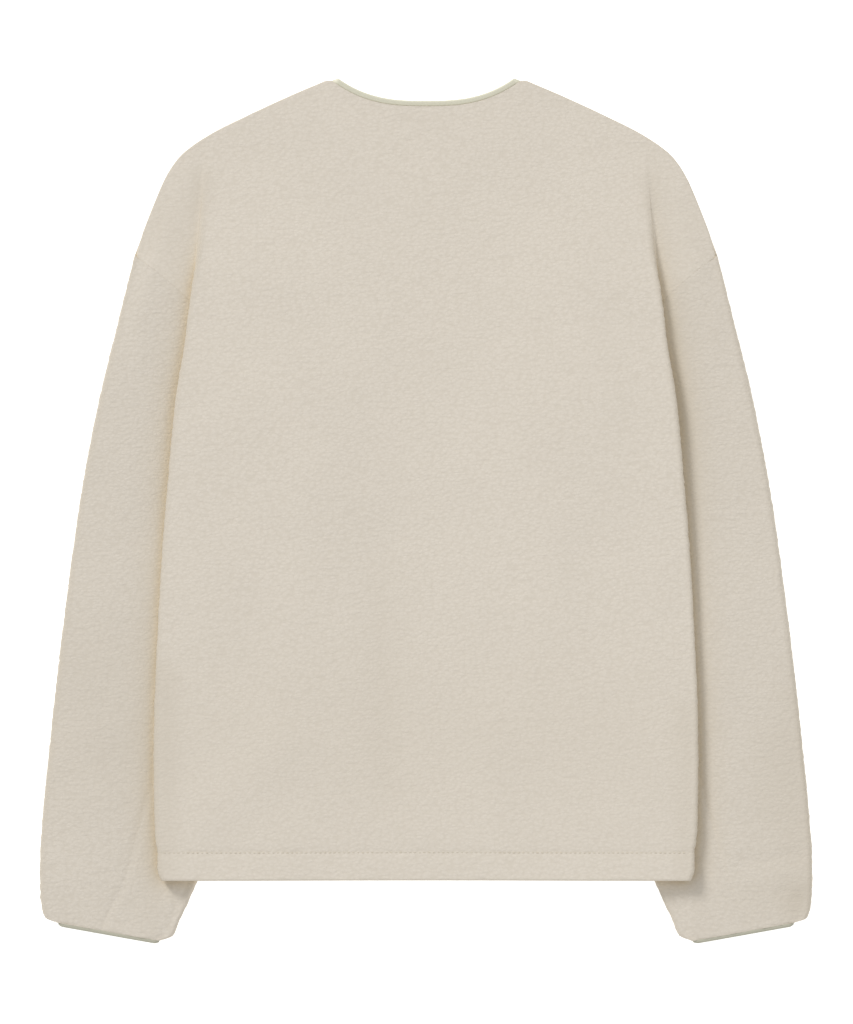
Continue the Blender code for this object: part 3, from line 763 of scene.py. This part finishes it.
def side_seam(y):
    """How near the centre the tucked cloth comes on the floor, below the armpit."""
    reach = [x - abs(math.sin(heading)) * WALL / 2 for x, z, heading, *_ in back_half(y, 1)
             if z - abs(math.cos(heading)) * WALL / 2 < WALL + GAP]
    return min(reach) - GAP


def resample(path, count):
    """count + 1 points evenly along a path."""
    path = np.asarray(path, float)
    length = run_lengths(path)
    at = np.linspace(0, length[-1], count + 1)
    return np.stack([np.interp(at, length, path[:, axis]) for axis in (0, 1)], axis=1)


def make_front(side, sign, surface):
    """A front panel on the floor under the back, its outside down."""
    half_gap = FRONT_OPENING / 2
    neck = beside(front_neck_path(NECK_STEPS), BINDING_WIDTH + GAP)
    neck[:, 0] = np.maximum(neck[:, 0], half_gap)
    unrolled = ARMPIT - UNROLL
    seam = [(side_seam(y), y) for y in np.linspace(HEM, unrolled, SEAM_POINTS)]
    seam.append((seam[-1][0], ARMPIT + GAP / 2))
    shoulder_y = np.linspace(SHOULDER[-1].y, SHOULDER_TOP, SHOULDER_POINTS)
    above = ARMPIT + ARMPIT_STEP
    stretches = [
        ([(half_gap, HEM), (half_gap, ARMPIT)], seam),
        ([(half_gap, ARMPIT), (half_gap, above)], [seam[-1], ARMHOLE_BACK[-1]]),
        ([(half_gap, above), neck[0]], ARMHOLE_BACK[::-1]),
        (neck, list(zip(shoulder_x(shoulder_y), shoulder_y))),
    ]
    columns = np.array(spaced(0, FRONT_WIDE, FRONT_WIDE / FRONT_COLUMNS)) / FRONT_WIDE
    grid = []
    for (inner, outer), count in zip(stretches, FRONT_ROWS):
        for near, far in list(zip(resample(inner, count), resample(outer, count)))[bool(grid):]:
            plan = near + (far - near) * columns[:, None]
            grid.append([(sign * x, y, FLOOR_LAYER) for x, y in plan])
    facing = np.tile((0.0, 0.0, -1.0), (len(grid), len(columns), 1))
    pressed = np.array([[hem_press(y) for _, y, _ in row] for row in grid])
    return cloth("sherpa_front_" + side, grid, facing, surface, pressed)


# ---- tape and stitches
TAPE_COLUMNS = 12
STITCH_LONG, STITCH_APART, STITCH_RADIUS = 3.2, 0.8, 0.28
STITCH_RINGS, STITCH_SIDES = 4, 6
STITCH_DIP = 1.2                  # of its radius, at its ends
STITCH_TIP = 0.55                 # its radius there, as a share
STITCH_PROUD = 0.1
AHEAD = 0.2                       # looked at along the path for its direction


def make_neck_tape(name, path, layer, surface, skew=0.0):
    """The tape along a path in plan, to the right of its direction and lapping the pile.

    skew draws out the ends of its inner edge, where it folds over at the shoulder points.
    """
    width = BINDING_WIDTH + NECK_LAP
    across = [width * (1 - math.cos(math.pi * step / TAPE_COLUMNS)) / 2
              for step in range(TAPE_COLUMNS + 1)]
    lines = []
    for distance in across:
        line = beside(path, distance)
        for end, before in ((0, 1), (-1, -2)):
            run = line[end] - line[before]
            line[end] = line[end] + run / np.linalg.norm(run) * skew * distance
        lines.append(line)
    grid = [[(line[index][0], line[index][1], layer) for line in lines]
            for index in range(len(path))]
    facing = np.tile((0.0, 0.0, 1.0), (len(path), len(across), 1))
    return cloth(name, grid, facing, surface, pile_height=0.0, stride=(1, 1),
                 thick=BINDING_THICK)


def make_stitches(name, path, surface):
    """A row of stitches along a path of points, each a short thread that dips at its ends."""
    path = np.asarray(path, float)
    lengths = run_lengths(path)

    def spot(at):
        return np.array([np.interp(at, lengths, path[:, axis]) for axis in range(3)])

    points, faces = [], []
    for number in range(int(lengths[-1] / (STITCH_LONG + STITCH_APART))):
        start = len(points)
        for ring in range(STITCH_RINGS + 1):
            at = number * (STITCH_LONG + STITCH_APART) + STITCH_LONG * ring / STITCH_RINGS
            centre = spot(at)
            along = spot(at + AHEAD) - centre
            side = np.cross(along / np.linalg.norm(along), (0, 0, 1))
            bow = math.sin(math.pi * ring / STITCH_RINGS)
            centre = centre + np.array([0, 0, STITCH_RADIUS * STITCH_DIP * (bow - 1)])
            size = STITCH_RADIUS * (STITCH_TIP + (1 - STITCH_TIP) * bow)
            for corner in range(STITCH_SIDES):
                angle = 2 * math.pi * corner / STITCH_SIDES
                points.append(centre + side * math.cos(angle) * size
                              + np.array([0, 0, math.sin(angle) * size]))
        for ring in range(STITCH_RINGS):
            low = start + ring * STITCH_SIDES
            for corner in range(STITCH_SIDES):
                after = (corner + 1) % STITCH_SIDES
                faces.append((low + corner, low + after, low + STITCH_SIDES + after,
                              low + STITCH_SIDES + corner))
        faces += [list(range(end, end + STITCH_SIDES))
                  for end in (start, start + STITCH_RINGS * STITCH_SIDES)]
    points = (np.array(points) * MM).tolist()
    return add_piece(name, points, faces, surface)


def hem_line():
    """The hem's stitching along the top of the back, in the bottom of its groove."""
    halves = [back_half(HEM_STITCH, sign)[:TOP_COLUMNS + 1] for sign in (-1, 1)]
    row = [(-x, z) for x, z, *_ in halves[0][:0:-1]] + [(x, z) for x, z, *_ in halves[1]]
    sunk = WALL / 2 - hem_press(HEM_STITCH) + STITCH_PROUD
    return [(x, HEM_STITCH, z + sunk) for x, z in row]


# ---- materials
CREAM = (0.635, 0.586, 0.517)
SLEEVE_PAINTED_SHADE = 0.965              # painted shade: the sleeves' pile is a darker copy of the body's, as their nap lies another way and catches less light
BODY_CURL_DEPTH, SLEEVE_CURL_DEPTH = 0.36, 0.44
CURL, HAIR, RIDGE, MOTTLE = 3.2, 1.1, 3.0, 60.0   # sizes of the pile's forms
CURL_STRETCH, RIDGE_STRETCH = (0.95, 1.35, 1.1), (0.25, 1.0, 1.0)
CURL_SHARE, HAIR_SHARE, RIDGE_SHARE = -0.4, 0.3, 0.45     # of the bump's height
WARP_SIZE, WARP_REACH = 1000 / 260, 2.2           # keeps the curls' cells from being regular
MOTTLED = (0.985, 1.01)
# Deep in the pile: partly the roots' own darker colour, and partly painted shade in the pile's
# hollows and in the painted patches.
DEEP_AND_SHADE_TINT = (0.84, 0.825, 0.79)
OPEN_AND_SHADE_SHARE = 0.85                 # of the deep tint where the pile stands open and where shade is painted
HOLLOW_REACH = 30.0               # painted shade and bounce light: cloth between pieces this near is tinted darker and warmer
HOLLOW_SHADE_TINT = (1.09, 0.97, 0.73)
# Painted light and shade: the pile's fibres point every way, so the colour is darkened on slopes
# that lean towards the light and brightened on those that lean away: (how far a slope leans
# towards the light, its brightness).
LEANS_AWAY, LEANS_TO = (-0.35, 1.13), (0.45, 0.84)

SAGE = (0.575, 0.56, 0.455)
CUFF_TAPE_PAINTED_SHADE = 0.74            # painted shade: the cuffs' tape is a darker copy, for the pile's shade on it where it is seen along its edge between both layers
RIB_SCALE = 220.0
THREAD = (0.52, 0.48, 0.40)


class Shader:
    """A material with a Principled shader, and short ways to add nodes to it."""

    def __init__(self, name, colour, roughness, sheen):
        self.material = bpy.data.materials.new(name)
        self.material.use_nodes = True
        self.material.diffuse_color = (*colour, 1.0)
        tree = self.material.node_tree
        self.nodes, self.links = tree.nodes, tree.links
        self.out = self.nodes["Principled BSDF"]
        for socket, value in (("Base Color", (*colour, 1.0)), ("Roughness", roughness),
                              ("Sheen Weight", sheen), ("Sheen Roughness", 0.5),
                              ("Specular IOR Level", 0.25)):
            self.out.inputs[socket].default_value = value
        self.place = self.nodes.new("ShaderNodeTexCoord").outputs["Object"]

    def feed(self, socket, value):
        """Link another node's output to a socket, or set the socket's value."""
        if isinstance(value, bpy.types.NodeSocket):
            self.links.new(value, socket)
        else:
            socket.default_value = value

    def add(self, kind, **inputs):
        """A node with some of its inputs fed."""
        node = self.nodes.new("ShaderNode" + kind)
        for name, value in inputs.items():
            self.feed(node.inputs[name.replace("_", " ")], value)
        return node

    def operate(self, kind, operation, *values):
        """A math or vector math node whose inputs are fed in their order."""
        node = self.nodes.new("ShaderNode" + kind)
        node.operation = operation
        for socket, value in zip(node.inputs, values):
            self.feed(socket, value)
        return node

    def math(self, operation, first, second):
        return self.operate("Math", operation, first, second).outputs["Value"]

    def weighted(self, *parts):
        """The sum of some values, each times its share."""
        scaled = [self.math("MULTIPLY", value, share) for value, share in parts]
        total = scaled[0]
        for part in scaled[1:]:
            total = self.math("ADD", total, part)
        return total

    def stretched(self, scale):
        return self.add("Mapping", Vector=self.place, Scale=scale).outputs["Vector"]

    def noise(self, size, detail, vector=None):
        """Noise with lumps of a size in millimetres."""
        return self.add("TexNoise", Vector=vector or self.place, Scale=1000 / size,
                        Detail=detail, Roughness=0.55).outputs["Fac"]

    def curls(self, size, vector):
        """Rounded cells of a size in millimetres, low in their middles."""
        return self.add("TexVoronoi", Vector=vector, Scale=1000 / size).outputs["Distance"]

    def warped(self, vector, size, reach):
        """A vector pushed about by noise of a size and a reach in millimetres."""
        noise_colour = self.add("TexNoise", Vector=self.place, Scale=1000 / size,
                                Detail=1.0).outputs["Color"]
        return self.operate("VectorMath", "MULTIPLY_ADD", noise_colour, (reach * MM,) * 3,
                            vector).outputs["Vector"]

    def facing(self, direction):
        """How far the surface, without its bumps, faces a direction."""
        normal = self.nodes.new("ShaderNodeNewGeometry").outputs["Normal"]
        return self.operate("VectorMath", "DOT_PRODUCT", normal, direction).outputs["Value"]

    def spread(self, value, low, high, to_low, to_high):
        return self.add("MapRange", Value=value, From_Min=low, From_Max=high, To_Min=to_low,
                        To_Max=to_high).outputs["Result"]

    def blend(self, share, first, second):
        """The first colour, and as much of the second as share says."""
        node = self.add("Mix")
        node.data_type = "RGBA"
        self.feed(node.inputs["Factor"], share)
        colours = [socket for socket in node.inputs if socket.type == "RGBA"]
        for socket, value in zip(colours, (first, second)):
            self.feed(socket, (*value, 1.0) if isinstance(value, tuple) else value)
        return [socket for socket in node.outputs if socket.type == "RGBA"][0]

    def finish(self, colour, height, depth):
        """Link the colour, and a height from 0 to 1 whose full depth is in millimetres."""
        self.feed(self.out.inputs["Base Color"], colour)
        bump = self.add("Bump", Height=height, Distance=depth * MM, Strength=1.0)
        self.feed(self.out.inputs["Normal"], bump.outputs["Normal"])
        return self.material


def tinted(colour, share):
    """A colour times a share, or times a share for each channel."""
    return tuple(float(part) for part in np.multiply(colour, share))


def sun_direction(height):
    azimuth, height = math.radians(SUN_AZIMUTH), math.radians(height)
    return (math.cos(azimuth) * math.cos(height), math.sin(azimuth) * math.cos(height),
            math.sin(height))


def warm_hollow_shade(made, cream, colour):
    """Painted shade and warm bounce light: cloth that faces up between near pieces is tinted
    darker and warmer where little sky reaches it.
    """
    sky = made.add("AmbientOcclusion", Distance=HOLLOW_REACH * MM)
    sky.samples = 4
    upward = made.spread(made.facing((0, 0, 1)), 0.3, 0.8, 0, 1)
    hollow = made.math("MULTIPLY", made.spread(sky.outputs["AO"], 0.25, 0.9, 1.0, 0.0), upward)
    return made.blend(hollow, colour, tinted(cream, HOLLOW_SHADE_TINT))


def sherpa_material(name, shade, depth):
    """Cream fleece: small curls of pile, in soft ridges that run across the jacket, with painted
    shade and painted light in its colour.
    """
    (away, brightest), (towards, darkest) = LEANS_AWAY, LEANS_TO
    # The cream starts at the brightest of the painted light, and the painted shade darkens it
    # from there.
    cream = tinted(CREAM, shade * brightest)
    deep_and_shaded = tinted(cream, DEEP_AND_SHADE_TINT)
    made = Shader(name, tinted(CREAM, shade), roughness=0.95, sheen=0.06)
    curl = made.curls(CURL, made.warped(made.stretched(CURL_STRETCH), WARP_SIZE, WARP_REACH))
    hair = made.noise(HAIR, 2.0)
    ridge = made.noise(RIDGE, 1.0, made.stretched(RIDGE_STRETCH))
    height = made.weighted((curl, CURL_SHARE), (hair, HAIR_SHARE), (ridge, RIDGE_SHARE))

    mottle = made.spread(made.noise(MOTTLE, 2.0), 0.3, 0.7, 0.0, 1.0)
    colour = made.blend(mottle, *(tinted(cream, share) for share in MOTTLED))
    # Painted shade in the pile's hollows: darker at the curls' low edges and at the hair's low
    # spots.
    colour = made.blend(made.spread(curl, 0.25, 0.8, 0.0, 0.4), colour, deep_and_shaded)
    colour = made.blend(made.spread(hair, 0.35, 0.65, 0.2, 0.0), colour, deep_and_shaded)
    # Painted shade, with the open pile's own darker roots, from the meshes' attribute.
    opened = made.add("Attribute")
    opened.attribute_name = OPEN_PILE_AND_SHADE
    colour = made.blend(made.math("MULTIPLY", opened.outputs["Fac"], OPEN_AND_SHADE_SHARE), colour, deep_and_shaded)
    # Painted shade and warm bounce light in the hollows between pieces.
    colour = warm_hollow_shade(made, cream, colour)
    # Painted light and shade: slopes towards the sun are darkened, those away from it
    # brightened.
    lean = made.facing(sun_direction(0))
    painted_lean_shade = made.spread(lean, away, towards, 0.0, 1 - darkest / brightest)
    return made.finish(made.blend(painted_lean_shade, colour, (0.0, 0.0, 0.0)), height, depth)


def tape_material(name, sage):
    """Smooth sage tape with a fine rib."""
    made = Shader(name, sage, roughness=0.6, sheen=0.1)
    rib = made.add("TexWave", Vector=made.place, Scale=RIB_SCALE, Distortion=0.6, Detail=1.0)
    rib.bands_direction = "DIAGONAL"
    thread = made.noise(0.5, 2.0)
    height = made.weighted((rib.outputs["Fac"], 0.6), (thread, 0.4))
    colour = made.blend(made.spread(thread, 0.3, 0.7, 0.0, 1.0), tinted(sage, 0.94),
                        tinted(sage, 1.03))
    return made.finish(colour, height, 0.06)


def thread_material():
    """Cream sewing thread with a light twist."""
    made = Shader("cream_thread", THREAD, roughness=0.7, sheen=0.0)
    twist = made.noise(0.4, 1.0)
    return made.finish(made.blend(twist, tinted(THREAD, 0.9), tinted(THREAD, 1.1)), twist, 0.05)


# ---- stage
PHOTO_MM = 0.849                  # of the jacket to a pixel of the photo
PHOTO_TALL = 1024
LENS = 150.0
SENSOR = 36.0
SEEN_HEIGHT = 8.0                 # level of the outline, where that scale holds
CAMERA_X, CAMERA_Y = 0.4, -0.85
SUN_AZIMUTH = 127.0               # direction the light comes from, in plan from +X
SUN_HEIGHT = 25.0
SUN_STRENGTH = 2.35
SUN_SOFT = 16.0
SUN_COLOUR = (1.0, 0.99, 0.97)
SKY = 0.795
SKY_COLOUR = (1.0, 0.995, 0.985)
FLOOR_COLOUR, FLOOR_GLOW = (0.93, 0.93, 0.925), 0.6
FLOOR_REACH, FLOOR_DROP = 6.0, 0.0005     # metres; it is just clear of the cloth


def link(name, data):
    """An object made of some data, in the scene."""
    made = bpy.data.objects.new(name, data)
    bpy.context.collection.objects.link(made)
    return made


def make_floor():
    """A large pale floor that glows a little, as white as the photo's ground."""
    made = Shader("white_floor", FLOOR_COLOUR, roughness=0.9, sheen=0.0)
    grain = made.blend(made.noise(30.0, 2.0), (0.925, 0.925, 0.92), (0.935, 0.935, 0.93))
    made.feed(made.out.inputs["Base Color"], grain)
    made.out.inputs["Emission Color"].default_value = (1.0, 1.0, 1.0, 1.0)
    made.out.inputs["Emission Strength"].default_value = FLOOR_GLOW
    corners = [(-1, -1), (1, -1), (1, 1), (-1, 1)]
    mesh = bpy.data.meshes.new("floor")
    mesh.from_pydata([(x * FLOOR_REACH, y * FLOOR_REACH, -FLOOR_DROP) for x, y in corners],
                     [], [(0, 1, 2, 3)])
    mesh.materials.append(made.material)
    link("floor", mesh)


def make_light():
    """A pale sky all round, and one soft sun from the upper left."""
    world = bpy.data.worlds.new("studio")
    world.use_nodes = True
    sky = world.node_tree.nodes["Background"]
    sky.inputs["Color"].default_value = (*SKY_COLOUR, 1.0)
    sky.inputs["Strength"].default_value = SKY
    bpy.context.scene.world = world

    sun = bpy.data.lights.new("key", "SUN")
    sun.energy = SUN_STRENGTH
    sun.angle = math.radians(SUN_SOFT)
    sun.color = SUN_COLOUR
    lamp = link("key", sun)
    lamp.rotation_mode = "QUATERNION"
    lamp.rotation_quaternion = Vector(sun_direction(SUN_HEIGHT)).to_track_quat("Z", "Y")


def make_camera():
    """A camera straight above, at the distance that gives the photo's scale."""
    lens = bpy.data.cameras.new("camera")
    lens.lens = LENS
    lens.sensor_width = SENSOR
    lens.clip_end = 100.0
    camera = link("camera", lens)
    away = PHOTO_TALL * PHOTO_MM * LENS / SENSOR + SEEN_HEIGHT
    camera.location = (CAMERA_X * MM, CAMERA_Y * MM, away * MM)
    bpy.context.scene.camera = camera
    settings = bpy.context.scene.view_settings
    settings.view_transform = "Standard"
    settings.look = "None"
    settings.exposure = 0.0
    settings.gamma = 1.0


def main():
    sherpa = sherpa_material("sherpa_pile", 1.0, BODY_CURL_DEPTH)
    # Painted shade: the sleeves take a darker copy of the pile.
    sleeve_sherpa = sherpa_material("sherpa_pile_sleeve_painted_shade", SLEEVE_PAINTED_SHADE, SLEEVE_CURL_DEPTH)
    tape = tape_material("sage_tape", SAGE)
    # Painted shade: a darker copy of the tape for the cuffs.
    cuff_tape = tape_material("sage_tape_cuff_painted_shade", tinted(SAGE, CUFF_TAPE_PAINTED_SHADE))
    thread = thread_material()
    back = make_back(sherpa)
    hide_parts("back")
    cloths, tapes = [back], []
    for side, sign, folds in (("left", -1, LEFT_SLEEVE_FOLDS),
                              ("right", 1, RIGHT_SLEEVE_FOLDS)):
        front = make_front(side, sign, sherpa)
        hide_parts("front_" + side)
        sleeve = make_sleeve(side, sign, folds, sleeve_sherpa)
        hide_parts("sleeve_" + side)
        cuff = make_cuff_tape(side, sign, folds, cuff_tape)
        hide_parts("cuff_binding_" + side)
        path = front_neck_path(NECK_STEPS)
        path[:, 0] = np.maximum(path[:, 0], FRONT_OPENING / 2)
        if sign < 0:
            path = (path * (-1, 1))[::-1]
        neck = make_neck_tape("neck_tape_front_" + side, path, FLOOR_LAYER, tape)
        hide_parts("neck_binding_front_" + side)
        cloths += [front, sleeve]
        tapes += [cuff, neck]
    neck = make_neck_tape("neck_tape_back", back_neck_path(2 * NECK_STEPS),
                          SLEEVE_LAYER + NECK_TAPE_RISE, tape, NECK_SKEW)
    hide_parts("neck_binding_back")
    tapes.append(neck)
    stitches = make_stitches("hem_stitches", hem_line(), thread)

    for piece in cloths + tapes + [stitches]:
        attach(piece, "root")


main()
make_floor()
make_light()
make_camera()
